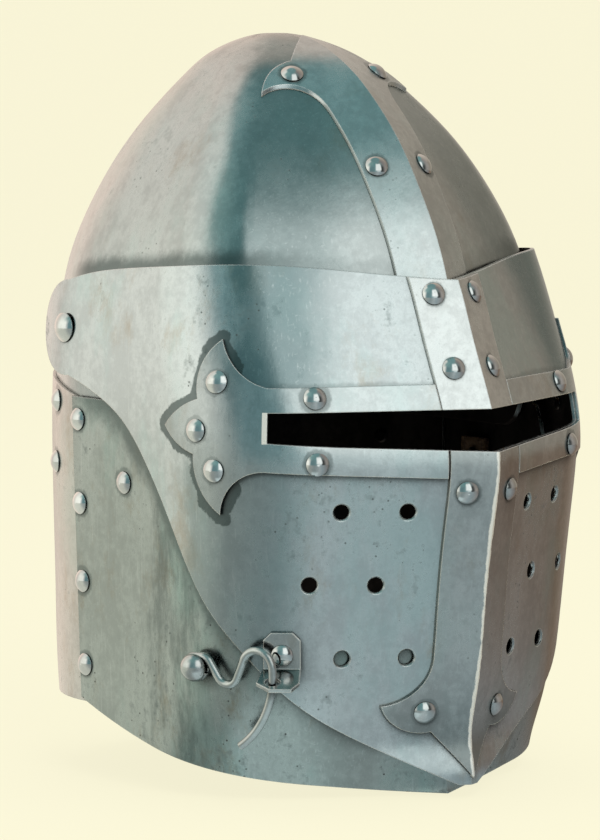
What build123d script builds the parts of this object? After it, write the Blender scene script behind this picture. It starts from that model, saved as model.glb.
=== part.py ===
from build123d import *
import os
from math import acos, atan, atan2, cos, degrees, hypot, pi, radians, sin, tan

os.makedirs("parts", exist_ok=True)

# Overall sizes. The front of the helm looks along -Y and its top along +Z.
helm_height = 346.0
half_width = 103.0
prow_reach = 127.0
rear_reach = 118.0
flank_corner = 64.0
flank_end = 28.0

# Overall sizes of the visor's outer face, which stands clear of the plates below it.
visor_half_width = 110.1
visor_reach = 143.6
visor_rear = 123.0
visor_flank = 34.0
visor_corner = 69.0

# Sheet thickness of every plate, the gap between lapped plates, and leather.
sheet = 1.6
lap = 0.1
leather = 2.4
leather_gap = 0.3

# Rows from the rim to the top: height, ridge, slope of the prow, half width,
# corner radius, end of the straight flank, rear. All but the slope are shares.
body_shares = [
    (-0.020, 0.876, 0.42, 0.966, 1.125, 1.00, 0.962),
    (0.104, 0.929, 0.43, 0.976, 1.125, 1.00, 0.975),
    (0.249, 0.980, 0.45, 0.990, 1.060, 1.00, 0.992),
    (0.393, 1.000, 0.47, 1.000, 1.000, 1.00, 1.000),
    (0.523, 0.961, 0.49, 1.000, 0.906, 1.00, 1.000),
    (0.610, 0.894, 0.50, 0.985, 0.750, 0.96, 0.992),
    (0.694, 0.829, 0.51, 0.942, 0.594, 0.89, 0.962),
    (0.749, 0.764, 0.52, 0.879, 0.516, 0.82, 0.907),
    (0.803, 0.677, 0.53, 0.796, 0.469, 0.75, 0.826),
    (0.858, 0.571, 0.56, 0.684, 0.406, 0.71, 0.720),
    (0.913, 0.425, 0.60, 0.539, 0.375, 0.71, 0.576),
    (0.945, 0.315, 0.60, 0.432, 0.375, 0.71, 0.492),
    (0.968, 0.205, 0.60, 0.345, 0.375, 0.71, 0.419),
    (0.986, 0.083, 0.60, 0.228, 0.297, 0.71, 0.339),
    (0.997, -0.043, 0.60, 0.107, 0.172, 0.71, 0.250),
    (0.9995, -0.125, 0.60, 0.025, 0.020, 0.71, 0.190),
]
visor_shares = [
    (-0.020, 0.825, 0.42, 0.947, 1.143, 1.00, 0.959),
    (0.075, 0.866, 0.43, 0.961, 1.143, 1.00, 0.967),
    (0.145, 0.893, 0.44, 0.970, 1.114, 1.00, 0.984),
    (0.266, 0.935, 0.46, 0.984, 1.057, 1.00, 0.992),
    (0.373, 0.975, 0.48, 0.993, 1.014, 1.00, 1.000),
    (0.468, 1.000, 0.50, 1.000, 1.000, 1.00, 1.000),
    (0.520, 0.964, 0.49, 1.000, 0.943, 1.00, 1.000),
    (0.613, 0.868, 0.48, 0.989, 0.857, 1.00, 0.992),
    (0.688, 0.792, 0.48, 0.954, 0.771, 1.00, 0.984),
    (0.746, 0.735, 0.48, 0.906, 0.657, 0.96, 0.951),
]
round_share = 0.5523

# The quarter view looks at the wearer's left front corner, halfway between
# the front and the side, and holds the outlines that wrap around it.
quarter_view = Plane(origin=(0, 0, 0), x_dir=(1, 1, 0), z_dir=(1, -1, 0))
front_view = Plane.XZ
side_view = Plane.YZ


def body_rows():
    """sizes of the skull and the plates below it, from the rim to the top"""
    return [
        (up * helm_height, ridge * prow_reach, slope, wide * half_width,
         corner * flank_corner, flank * flank_end, rear * rear_reach)
        for up, ridge, slope, wide, corner, flank, rear in body_shares
    ]


def visor_rows():
    """sizes of the visor's outer face, from below its edge to above it"""
    return [
        (up * helm_height, ridge * visor_reach, slope, wide * visor_half_width,
         corner * visor_corner, flank * visor_flank, rear * visor_rear)
        for up, ridge, slope, wide, corner, flank, rear in visor_shares
    ]


def wall_leans(rows):
    """how far the wall leans inwards at each row, in radians"""
    girths = [(row[0], (2 * row[3] + row[1] + row[6]) / 4) for row in rows]
    leans = []
    for index in range(len(rows)):
        low = girths[max(index - 1, 0)]
        high = girths[min(index + 1, len(rows) - 1)]
        leans.append(atan((low[1] - high[1]) / (high[0] - low[0])))
    return leans


def form(rows, out):
    """closed form whose wall stands a distance outside the rows' own wall"""
    with BuildPart() as body:
        for row, lean in zip(rows, wall_leans(rows)):
            height, ridge, slope, wide, corner, flank, rear = row
            aside = out * cos(lean)
            turn = atan(slope)
            ridge += aside / cos(turn)
            wide += aside
            rear += aside
            corner += aside
            meet = slope * wide - ridge
            half_turn = (pi / 2 - turn) / 2
            run = min(corner * tan(half_turn), (flank - meet) * 0.95)
            pull = run - run / tan(half_turn) * tan(half_turn / 2) * 4 / 3
            bend_start = (wide - run * cos(turn), meet - run * sin(turn))
            bend_pull = (wide - pull * cos(turn), meet - pull * sin(turn))
            bend_end = (wide, meet + run)
            rear_pull = (wide, flank + round_share * (rear - flank))
            with BuildSketch(Plane.XY.offset(height + out * sin(lean))):
                with BuildLine():
                    Line((0, -ridge), bend_start)
                    Bezier(bend_start, bend_pull, (wide, meet + pull), bend_end)
                    Line(bend_end, (wide, flank))
                    Bezier((wide, flank), rear_pull, (round_share * wide, rear), (0, rear))
                    mirror(about=Plane.YZ)
                make_face()
        loft()
    return body.part


def layer(rows, inner, outer):
    """sheet between two distances from the rows' own wall"""
    with BuildPart() as wall:
        add(form(rows, outer))
        add(form(rows, inner), mode=Mode.SUBTRACT)
    return wall.part


def at(across_share, up_share):
    """point of an outline, as shares of the half width and of the height"""
    return (across_share * half_width, up_share * helm_height)


def quarter_block(outline, depth, both=False):
    """block behind an outline of the quarter view, on both sides of the helm"""
    with BuildPart() as block:
        with BuildSketch(quarter_view):
            with BuildLine():
                outline()
            make_face()
        extrude(amount=depth, both=both)
        split(bisect_by=Plane.YZ, keep=Keep.TOP)
        mirror(about=Plane.YZ)
    return block.part


def spot(solid, view, across, up):
    """plane on the outermost face of a solid at a place of a view"""
    start = view.from_local_coords(Vector(across, up, 0))
    line = Axis(start, view.z_dir)
    hits = [hit for face in solid.faces() for hit in face.find_intersection_points(line)]
    point, normal = max(hits, key=lambda hit: (hit[0] - start).dot(view.z_dir))
    if normal.dot(view.z_dir) < 0:
        normal = normal * -1
    level = Vector(0, 0, 1).cross(normal)
    return Plane(origin=point, x_dir=level, z_dir=normal)


def mirrored(plane):
    """the same seat on the wearer's right"""
    origin = Vector(-plane.origin.X, plane.origin.Y, plane.origin.Z)
    normal = Vector(-plane.z_dir.X, plane.z_dir.Y, plane.z_dir.Z)
    return Plane(origin=origin, x_dir=Vector(0, 0, 1).cross(normal), z_dir=normal)


def both_sides(seats):
    return seats + [mirrored(seat) for seat in seats]


# Rivets: a domed head outside, a shank through the sheets, a flat tail inside.
rivet_head_radius = 5.2
rivet_head_height = 2.9
rivet_rim = 0.5
rivet_shank_radius = 2.0
rivet_tail_radius = 3.4
rivet_tail_height = 1.1
rivet_play = 0.06
head_seat = 0.12
tail_seat = 0.2
two_sheets = 2 * sheet + lap
hole_depth = 9.0


def rivet(head_radius, head_height, stack, flush):
    """one rivet, its head standing on the plane and its shank below it"""
    dome = head_height - rivet_rim
    sphere = (head_radius**2 + dome**2) / (2 * dome)
    middle = head_radius / 2
    crown = rivet_rim + (sphere**2 - middle**2) ** 0.5 - (sphere - dome)
    tail_top = -stack - tail_seat
    tail_foot = tail_top - rivet_tail_height
    tail = [(0, tail_foot), (rivet_tail_radius * 0.7, tail_foot),
            (rivet_tail_radius, (tail_foot + tail_top) / 2), (rivet_tail_radius, tail_top),
            (rivet_shank_radius, tail_top)]
    if flush:
        tail = [(0, -stack), (rivet_shank_radius, -stack)]
    with BuildPart() as one:
        with BuildSketch(Plane.XZ):
            with BuildLine():
                Polyline((0, head_height), *tail, (rivet_shank_radius, head_seat),
                         (head_radius, head_seat), (head_radius, rivet_rim))
                ThreePointArc((head_radius, rivet_rim), (middle, crown), (0, head_height))
            make_face()
        revolve(axis=Axis.Z)
    return one.part


def rivets(seats, stack, head_radius=rivet_head_radius, head_height=rivet_head_height, flush=False):
    """a group of like rivets on their seats, with their tails flush or standing"""
    one = rivet(head_radius, head_height, stack, flush)
    with BuildPart() as group:
        for seat in seats:
            with Locations(seat.location):
                add(one)
    return group.part


def rivet_holes(seats, radius=rivet_shank_radius):
    """cutters for the holes that a group of rivets passes through"""
    with BuildPart() as cutters:
        for seat in seats:
            with BuildSketch(seat.offset(-hole_depth)):
                Circle(radius + rivet_play)
            extrude(amount=hole_depth * 1.5)
    return cutters.part


rear_view = Plane(origin=(0, 0, 0), x_dir=(-1, 0, 0), z_dir=(0, 1, 0))


def spots(wall, view, shares):
    """seats on the outermost face of a wall, on the wearer's left"""
    return [spot(wall, view, *at(*share)) for share in shares]


def beam(view, outline, depth, both=False):
    """straight block behind an outline of a view"""
    with BuildPart() as block:
        with BuildSketch(view):
            with BuildLine():
                outline()
            make_face()
        extrude(amount=depth, both=both)
    return block.part


# Walls that the pieces are cut from, each at its own distance from the form.
body = body_rows()
visor = visor_rows()
plate_face = 2 * (lap + sheet)
skull_wall = layer(body, -sheet, 0)
body_skin = layer(body, lap, lap + sheet)
plate_wall = layer(body, plate_face - sheet, plate_face)
liner_face = -sheet - leather_gap
liner_wall = layer(body, liner_face - leather, liner_face)
strap_face = plate_face - sheet - leather_gap
strap_wall = layer(body, strap_face - leather, strap_face)
visor_wall = layer(visor, -sheet, 0)
band_wall = layer(visor, lap, lap + sheet)

# Places of the rivets on the wearer's left, as shares across and up a view.
three_sheets = 3 * sheet + 2 * lap
lined_sheet = sheet + leather_gap + leather
seam_top_shares = [(0.9476, 0.487)]
seam_shares = [(0.9388, 0.374), (0.9272, 0.2685), (0.9165, 0.1555)]
chin_rivet_shares = [(0.7, 0.4101)]
back_side_shares = [(0.5631, 0.5058)]
back_rear_shares = [(0.3689, 0.5058)]
back_low_shares = [(0.5825, 0.422)]
liner_side_shares = [(0.6408, 0.5636)]
liner_rear_shares = [(0.3883, 0.5636)]
trefoil_shares = [(0.2223, 0.5578), (0.3175, 0.4936), (0.233, 0.4422)]
band_rivet_shares = [(0.701, 0.5373), (0.7282, 0.4529)]
brow_rivet_shares = [(0.1165, 0.6676), (0.1117, 0.5723)]
nasal_top_shares = [(0.1214, 0.4118)]
nasal_low_shares = [(0.2039, 0.1179)]
skull_strap_shares = [(0.245, -0.252), (0.135, -0.722)]
breath_shares = [
    (0.3417, 0.3873), (0.6107, 0.3887), (0.4456, 0.2905), (0.7155, 0.2928), (0.2981, 0.1928),
    (0.565, 0.1936),
]

seam_top_seats = spots(plate_wall, quarter_view, seam_top_shares)
seam_seats = spots(plate_wall, quarter_view, seam_shares)
chin_rivet_seats = both_sides(spots(plate_wall, quarter_view, chin_rivet_shares))
back_seats = both_sides(
    spots(body_skin, side_view, back_side_shares) + spots(body_skin, rear_view, back_rear_shares))
back_low_seats = both_sides(spots(body_skin, side_view, back_low_shares))
liner_seats = both_sides(
    spots(skull_wall, side_view, liner_side_shares) + spots(skull_wall, rear_view, liner_rear_shares))
trefoil_seats = spots(band_wall, quarter_view, trefoil_shares)
band_seats = spots(band_wall, front_view, band_rivet_shares)
brow_seats = both_sides(spots(band_wall, front_view, brow_rivet_shares))
nasal_top_seats = both_sides(spots(band_wall, front_view, nasal_top_shares))
nasal_low_seats = both_sides(spots(band_wall, front_view, nasal_low_shares))
skull_strap_seats = both_sides([
    spot(body_skin, Plane.XY, across * half_width, back * half_width) for across, back in skull_strap_shares
])

# Axis of the latch stud on the wearer's right, dipped a little from square.
stud_share = [(0.301, 0.1821)]
stud_dip = radians(4)
stud_foot = mirrored(spots(plate_wall, quarter_view, stud_share)[0])
stud_across = Vector(stud_foot.z_dir.X, stud_foot.z_dir.Y, 0).normalized()
stud_plane = Plane(origin=stud_foot.origin, x_dir=stud_foot.x_dir,
                   z_dir=stud_across * cos(stud_dip) - Vector(0, 0, 1) * sin(stud_dip))
stud_shank_radius = 2.6

# Pivots of the visor at the temples.
pivot_back = 38.0
pivot_height = 211.0
pivot_shank_radius = 3.0
pivot_play = 0.1
pivot_axis = Plane(origin=(0, pivot_back, pivot_height), x_dir=(0, 1, 0), z_dir=(1, 0, 0))
pivot_seat = spot(visor_wall, side_view, pivot_back, pivot_height)
pivot_face = pivot_seat.origin.X
pivot_tilt = pivot_seat.z_dir.Y / pivot_seat.z_dir.X


def pivot_bore(radius):
    """bore through both sides along the pivots"""
    with BuildPart() as bore:
        with BuildSketch(pivot_axis):
            Circle(radius)
        extrude(amount=2 * half_width, both=True)
    return bore.part


# Skull: one raised shell with a ridge, open over the face. Its skirt runs
# down inside the plates at the sides and the rear.
skull_edge_shares = [(0.5049, 0.4566), (0.4204, 0.5), (0.2398, 0.5795), (0.0583, 0.6069), (-0.7961, 0.6118)]


def skull_edge():
    edge = [at(*share) for share in skull_edge_shares]
    rear_foot = at(1.7, skull_edge_shares[0][1])
    front_foot = at(-1.7, skull_edge_shares[-1][1])
    Polyline(at(1.7, 1.1), rear_foot, edge[0])
    Spline(*edge, tangents=((-1, 0.4), (-1, 0)))
    Polyline(edge[-1], front_foot, at(-1.7, 1.1), at(1.7, 1.1))


with BuildPart() as skull:
    add(skull_wall)
    add(quarter_block(skull_edge, 2 * half_width, both=True), mode=Mode.INTERSECT)
    skull_holes = skull_strap_seats + both_sides(seam_top_seats) + back_seats + liner_seats
    add(rivet_holes(skull_holes), mode=Mode.SUBTRACT)
    add(pivot_bore(pivot_shank_radius + rivet_play), mode=Mode.SUBTRACT)

# Skull strap: a creased strap over the ridge with a fishtail at its top end.
strap_half_width = 20.5
strap_foot_share = 0.618
fishtail_shares = [
    (-1.4, 0.0), (-0.456, 0.0), (-0.325, 0.049), (-0.2505, 0.2185), (-0.19, 0.121), (-0.1825, 0.0),
]


def skull_strap_edge():
    tail = [(strap_half_width + aside * half_width, back * half_width) for back, aside in fishtail_shares]
    Polyline((0, tail[0][1]), tail[0], tail[1])
    ThreePointArc(tail[1], tail[2], tail[3])
    ThreePointArc(tail[3], tail[4], tail[5])
    Line(tail[5], (0, -0.01 * half_width))
    mirror(about=Plane.YZ)


with BuildPart() as skull_strap:
    add(body_skin)
    strap_plane = Plane.XY.offset(strap_foot_share * helm_height)
    add(beam(strap_plane, skull_strap_edge, helm_height), mode=Mode.INTERSECT)
    add(rivet_holes(skull_strap_seats), mode=Mode.SUBTRACT)

with BuildPart() as skull_strap_rivets:
    add(rivets(skull_strap_seats, two_sheets))

# Back plate: bent round the neck and lapped inside the front plate at the seams.
back_edge_shares = [
    (0.1942, 0.104), (0.1942, 0.5087), (0.3553, 0.5173), (0.6602, 0.5347), (1.3689, 0.5549),
    (1.3689, 0.1012), (0.1942, 0.104),
]


def back_edge():
    Polyline(*[at(*share) for share in back_edge_shares])


with BuildPart() as back_plate:
    add(body_skin)
    add(beam(side_view, back_edge, 2 * half_width, both=True), mode=Mode.INTERSECT)
    back_holes = both_sides(seam_top_seats + seam_seats) + back_seats + back_low_seats
    add(rivet_holes(back_holes), mode=Mode.SUBTRACT)

with BuildPart() as back_rivets:
    add(rivets(back_seats, two_sheets))
    add(rivets(back_low_seats, sheet))

# Lower front plate: one sheet from seam to seam, creased at the chin.
plate_top_shares = [
    (0.5049, 0.5173), (0.3689, 0.4769), (0.2913, 0.3757), (0.1359, 0.289), (-0.0971, 0.2601),
    (-0.8544, 0.2486),
]
plate_rim_shares = [
    (-0.7961, 0), (-0.3883, 0.0116), (-0.1553, 0.0202), (0.1845, 0.0347), (0.4563, 0.052),
    (0.7184, 0.078), (0.9417, 0.1098),
]
seam_top_share = 0.981


def front_plate_edge():
    top = [at(*share) for share in plate_top_shares]
    rim = [at(*share) for share in plate_rim_shares]
    Polyline(rim[-1], at(seam_top_share, plate_top_shares[0][1]), top[0])
    Spline(*top)
    Polyline(top[-1], at(-1.4, plate_top_shares[-1][1]), at(-1.4, plate_rim_shares[0][1]), rim[0])
    Spline(*rim)


with BuildPart() as lower_front_plate:
    add(plate_wall)
    add(quarter_block(front_plate_edge, 2 * half_width), mode=Mode.INTERSECT)
    add(rivet_holes(both_sides(seam_top_seats + seam_seats) + chin_rivet_seats), mode=Mode.SUBTRACT)
    add(rivet_holes([stud_plane], stud_shank_radius), mode=Mode.SUBTRACT)

with BuildPart() as seam_rivets_left:
    add(rivets(seam_top_seats, three_sheets))
    add(rivets(seam_seats, two_sheets))

with BuildPart() as seam_rivets_right:
    mirror(seam_rivets_left.part, about=Plane.YZ)

# Visor: one sheet that reaches from temple to temple and down to the chin.
arm_radius = 22.2
visor_top_shares = [
    (-0.7961, 0.685), (-0.3592, 0.6965), (0.0194, 0.7066), (0.3592, 0.7052), (0.6505, 0.6965),
    (0.8544, 0.6867), (1, 0.6731),
]
visor_foot_shares = [
    (1, 0.5468), (0.8447, 0.526), (0.7184, 0.5), (0.5825, 0.4451), (0.4369, 0.3584),
    (0.2621, 0.2543), (0.0971, 0.1965), (-0.0874, 0.1416), (-0.2718, 0.1012), (-0.5825, 0.052),
    (-0.8155, 0.0188),
]
slot_shares = [
    (-0.0097, 0.4798), (-0.0097, 0.5188), (-1.2621, 0.5202), (-1.2621, 0.461), (-0.3204, 0.474),
    (-0.0097, 0.4798),
]
breath_radius = 3.5
breath_chamfer = 0.7


def visor_edge():
    top = [at(*share) for share in visor_top_shares]
    foot = [at(*share) for share in visor_foot_shares]
    Spline(*top)
    Line(top[-1], foot[0])
    Spline(*foot)
    Polyline(foot[-1], at(-1.4, visor_foot_shares[-1][1]), at(-1.4, visor_top_shares[0][1]), top[0])


def slot_edge():
    Polyline(*[at(*share) for share in slot_shares])


visor_block = quarter_block(visor_edge, 2 * half_width)
slot_block = quarter_block(slot_edge, 2 * half_width)
breath_seats = both_sides(spots(visor_wall, front_view, breath_shares))
bracket_share = [(-0.065, 0.2012)]
bracket_seat = mirrored(spots(visor_wall, quarter_view, bracket_share)[0])
visor_seats = both_sides(trefoil_seats + band_seats) + brow_seats + nasal_top_seats + nasal_low_seats

with BuildPart() as visor_plate:
    with BuildSketch(pivot_axis):
        Circle(arm_radius)
    extrude(amount=2 * half_width, both=True)
    add(visor_block)
    add(visor_wall, mode=Mode.INTERSECT)
    add(slot_block, mode=Mode.SUBTRACT)
    add(rivet_holes(breath_seats, breath_radius), mode=Mode.SUBTRACT)
    with Locations(*[seat.location for seat in breath_seats]):
        Cone(breath_radius, breath_radius + 2 * breath_chamfer, 2 * breath_chamfer, mode=Mode.SUBTRACT)
    add(rivet_holes(visor_seats + [bracket_seat]), mode=Mode.SUBTRACT)
    add(pivot_bore(pivot_shank_radius + pivot_play), mode=Mode.SUBTRACT)

# Eye bands: a forked bar on each side whose arms run above and below the
# slot, with a trefoil behind its end.
strap_gap = 0.3
band_top_shares = [
    (-1.2621, 0.5535), (-0.0097, 0.5506), (0.1165, 0.5694), (0.199, 0.6127), (0.2913, 0.5809),
    (0.3107, 0.5347), (0.4078, 0.5188), (0.4709, 0.4971),
]
band_foot_shares = [
    (0.4709, 0.4971), (0.4175, 0.4769), (0.3301, 0.4624), (0.3058, 0.422), (0.2039, 0.3844),
    (0.1408, 0.4263), (0, 0.4422), (-1.2621, 0.4234),
]


def band_edge():
    top = [at(*share) for share in band_top_shares]
    foot = [at(*share) for share in band_foot_shares]
    Line(top[0], top[1])
    for first in (1, 3, 5):
        ThreePointArc(*top[first:first + 3])
    for first in (0, 2, 4):
        ThreePointArc(*foot[first:first + 3])
    Polyline(foot[-2], foot[-1], top[0])


with BuildPart() as eye_bands:
    add(band_wall)
    add(quarter_block(band_edge, 2 * half_width), mode=Mode.INTERSECT)
    add(slot_block, mode=Mode.SUBTRACT)
    Box(2 * (strap_half_width + strap_gap), 4 * half_width, 4 * helm_height, mode=Mode.SUBTRACT)
    add(rivet_holes(both_sides(trefoil_seats + band_seats)), mode=Mode.SUBTRACT)

with BuildPart() as eye_band_left:
    add(eye_bands.part.solids().sort_by(Axis.X)[-1])

with BuildPart() as eye_band_right:
    mirror(eye_band_left.part, about=Plane.YZ)

with BuildPart() as trefoil_rivets_left:
    add(rivets(trefoil_seats, two_sheets))

with BuildPart() as trefoil_rivets_right:
    mirror(trefoil_rivets_left.part, about=Plane.YZ)

with BuildPart() as band_rivets:
    add(rivets(both_sides(band_seats), two_sheets))

# Brow strap and nasal strap: creased straps on the ridge above and below the slot.
slot_middle_share = 0.4985
nasal_half_width = 20.0
nasal_shares = [
    (0.1942, 0.1908), (0.233, 0.1546), (0.3913, 0.128), (0.301, 0.0968), (0.1699, 0.0913),
    (0.0971, 0.0665), (0, 0.0289),
]


def brow_edge():
    Polyline(
        (-strap_half_width, slot_middle_share * helm_height),
        (strap_half_width, slot_middle_share * helm_height),
        (strap_half_width, helm_height), (-strap_half_width, helm_height),
        (-strap_half_width, slot_middle_share * helm_height),
    )


def nasal_edge():
    tail = [at(*share) for share in nasal_shares]
    Polyline((0, slot_middle_share * helm_height), (nasal_half_width, slot_middle_share * helm_height),
             (nasal_half_width, tail[0][1]))
    ThreePointArc((nasal_half_width, tail[0][1]), tail[1], tail[2])
    ThreePointArc(*tail[2:5])
    ThreePointArc(*tail[4:7])
    mirror(about=Plane.YZ)


with BuildPart() as brow_strap:
    add(band_wall)
    add(visor_block, mode=Mode.INTERSECT)
    add(beam(front_view, brow_edge, 2 * half_width), mode=Mode.INTERSECT)
    add(slot_block, mode=Mode.SUBTRACT)
    add(rivet_holes(brow_seats), mode=Mode.SUBTRACT)

with BuildPart() as nasal_strap:
    add(band_wall)
    add(beam(front_view, nasal_edge, 2 * half_width), mode=Mode.INTERSECT)
    add(slot_block, mode=Mode.SUBTRACT)
    add(rivet_holes(nasal_top_seats + nasal_low_seats), mode=Mode.SUBTRACT)

with BuildPart() as brow_rivets:
    add(rivets(brow_seats, two_sheets))

with BuildPart() as nasal_rivets:
    add(rivets(nasal_top_seats, two_sheets))
    add(rivets(nasal_low_seats, two_sheets, flush=True))

# Pivot rivet, its spacer between skull and visor, and its washer inside.
pivot_head_radius = 6.8
pivot_head_height = 3.4
pivot_tail_radius = 5.0
pivot_tail_height = 1.8
spacer_radius = 9.5
washer_radius = 8.5
washer_height = 1.6
turn_gap = 0.3
skull_seat = spot(skull_wall, side_view, pivot_back, pivot_height)
skull_face = skull_seat.origin.X
skull_tilt = abs(skull_seat.z_dir.Y / skull_seat.z_dir.X)
visor_inside = pivot_face - sheet * (1 + pivot_tilt**2) ** 0.5
spacer_rear = spot(visor_wall, side_view, pivot_back + spacer_radius, pivot_height)
spacer_fall = (pivot_face - spacer_rear.origin.X) / spacer_radius
washer_face = skull_face - sheet - skull_tilt * washer_radius - lap
tail_face = washer_face - washer_height - lap


def pivot_profile():
    under = pivot_face + turn_gap
    rim = under + pivot_tilt * pivot_head_radius
    crown = rim + pivot_head_height
    dome = pivot_head_height - rivet_rim
    sphere = (pivot_head_radius**2 + dome**2) / (2 * dome)
    middle = pivot_head_radius / 2
    shoulder = crown - sphere + (sphere**2 - middle**2) ** 0.5
    Polyline(
        (0, crown),
        (0, tail_face - pivot_tail_height),
        (pivot_tail_radius * 0.7, tail_face - pivot_tail_height),
        (pivot_tail_radius, tail_face - pivot_tail_height / 2), (pivot_tail_radius, tail_face),
        (pivot_shank_radius, tail_face), (pivot_shank_radius, under + pivot_tilt * pivot_shank_radius),
        (pivot_head_radius, rim), (pivot_head_radius, rim + rivet_rim),
    )
    ThreePointArc((pivot_head_radius, rim + rivet_rim), (middle, shoulder), (0, crown))


pivot_line = Axis((0, pivot_back, pivot_height), (1, 0, 0))


def turned(outline):
    """body turned about the pivots' axis on the wearer's left"""
    with BuildPart() as one:
        with BuildSketch(Plane(origin=(0, pivot_back, pivot_height), x_dir=(0, 1, 0), z_dir=(0, 0, -1))):
            with BuildLine():
                outline()
            make_face()
        revolve(axis=pivot_line)
    return one.part


def spacer_profile():
    bore = pivot_shank_radius + rivet_play
    outside = visor_inside - 2 * turn_gap
    Polyline(
        (bore, skull_face - sheet), (spacer_radius, skull_face - sheet),
        (spacer_radius, outside - spacer_fall * spacer_radius), (bore, outside - spacer_fall * bore),
        (bore, skull_face - sheet),
    )


def washer_profile():
    bore = pivot_shank_radius + rivet_play
    Polyline(
        (bore, washer_face - washer_height), (washer_radius, washer_face - washer_height),
        (washer_radius, skull_face), (bore, skull_face), (bore, washer_face - washer_height),
    )


with BuildPart() as pivot_rivet_left:
    add(turned(pivot_profile))

with BuildPart() as pivot_spacer_left:
    add(turned(spacer_profile))
    add(form(body, lap), mode=Mode.SUBTRACT)

with BuildPart() as pivot_washer_left:
    add(turned(washer_profile))
    add(form(body, -sheet - lap), mode=Mode.INTERSECT)

with BuildPart() as pivot_rivet_right:
    mirror(pivot_rivet_left.part, about=Plane.YZ)

with BuildPart() as pivot_spacer_right:
    mirror(pivot_spacer_left.part, about=Plane.YZ)

with BuildPart() as pivot_washer_right:
    mirror(pivot_washer_left.part, about=Plane.YZ)

# Latch on the wearer's right: a domed stud on the lower plate carries a wire
# hook whose tail drops through an eye in a bracket on the visor.
wire_radius = 1.9
hook_level = 5.6
eye_radius = 5.0
eye_play = 0.08
stud_seat = 0.35
collar_radius = 5.4
stud_head_radius = 6.4
stud_head_height = 5.4
stud_head_rim = 0.8
head_seat = 0.25
stud_tail_radius = 4.4
stud_tail_height = 1.3


def stud_profile():
    neck = eye_radius - wire_radius - eye_play
    collar_top = hook_level - wire_radius - head_seat
    under = hook_level + wire_radius + head_seat
    crown = under + stud_head_height
    dome = stud_head_height - stud_head_rim
    sphere = (stud_head_radius**2 + dome**2) / (2 * dome)
    middle = stud_head_radius / 2
    shoulder = crown - sphere + (sphere**2 - middle**2) ** 0.5
    tail_top = -sheet - stud_seat
    Polyline(
        (0, crown), (0, tail_top - stud_tail_height), (stud_tail_radius, tail_top - stud_tail_height),
        (stud_tail_radius, tail_top), (stud_shank_radius, tail_top), (stud_shank_radius, stud_seat),
        (collar_radius, stud_seat), (collar_radius, collar_top), (neck, collar_top), (neck, under),
        (stud_head_radius, under), (stud_head_radius, under + stud_head_rim),
    )
    ThreePointArc((stud_head_radius, under + stud_head_rim), (middle, shoulder), (0, crown))


with BuildPart() as latch_stud:
    with BuildSketch(Plane(origin=stud_plane.origin, x_dir=stud_plane.x_dir, z_dir=-stud_plane.y_dir)):
        with BuildLine():
            stud_profile()
        make_face()
    revolve(axis=Axis(stud_plane.origin, stud_plane.z_dir))

# Hook: an eye round the stud, a bend, a valley, a hump and a tail that runs
# in a circle about the stud, so that it swings clear of the bracket.
eye_step = 3.5
valley_reach = 17.0
valley_drop = 1.5
valley_radius = 5.5
hump_radius = 8.0
hump_turn = 3.1
tail_reach = 41.5
tail_turn = 60.0
eye_open = 25.0


def cross_turn(first, second, first_radius, second_radius):
    """angle from the line of centres to where a crossing tangent leaves"""
    span = hypot(second[0] - first[0], second[1] - first[1])
    return degrees(acos((first_radius + second_radius) / span))


def heading(first, second):
    return degrees(atan2(second[1] - first[1], second[0] - first[0]))


with BuildPart() as latch_hook:
    bend = (eye_step, 0)
    valley = (valley_reach, -valley_drop)
    hump_back = tail_reach - hump_radius
    hump = (hump_back * cos(radians(hump_turn)), hump_back * sin(radians(hump_turn)))
    leave = heading(bend, valley) + cross_turn(bend, valley, eye_radius, valley_radius)
    climb = heading(valley, hump) - cross_turn(valley, hump, valley_radius, hump_radius)
    with BuildLine(stud_plane.offset(hook_level)) as wire:
        CenterArc((0, 0), eye_radius, -eye_open, eye_open - 270)
        Line((0, eye_radius), (eye_step, eye_radius))
        over = CenterArc(bend, eye_radius, 90, leave - 90)
        under = CenterArc(valley, valley_radius, leave + 180, climb - leave + 180)
        crest = CenterArc(hump, hump_radius, climb + 180, hump_turn - climb - 180)
        CenterArc((0, 0), tail_reach, hump_turn, -tail_turn)
        Line(over @ 1, under @ 0)
        Line(under @ 1, crest @ 0)
    with BuildSketch(Plane(origin=wire.wire() @ 0, z_dir=wire.wire() % 0)):
        Circle(wire_radius)
    sweep(path=wire.wire())

# Bracket: a small sheet angle riveted to the visor, its flange pierced for the tail.
bracket_half_width = 8.5
bracket_rise = 10.4
bracket_fall = 7.6
bracket_sheet = 1.8
bracket_chamfer = 3.5
flange_reach = 19.0
flange_slope = radians(17)
flange_wing = 2.6
eye_hole_radius = 3.55
bracket_rivet_radius = 4.9
tail_cross = radians(-6)

bracket_gap = 0.4
bracket_plane = bracket_seat.offset(bracket_gap)
flange_origin = bracket_plane.from_local_coords(Vector(0, -bracket_fall, 0))
flange_out = bracket_plane.z_dir * cos(flange_slope) - bracket_plane.y_dir * sin(flange_slope)
flange_plane = Plane(origin=flange_origin, x_dir=bracket_plane.x_dir,
                     z_dir=bracket_plane.x_dir.cross(flange_out))
tail_point = stud_plane.offset(hook_level).from_local_coords(
    Vector(tail_reach * cos(tail_cross), tail_reach * sin(tail_cross), 0))
eye_hole = flange_plane.to_local_coords(tail_point)

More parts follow.
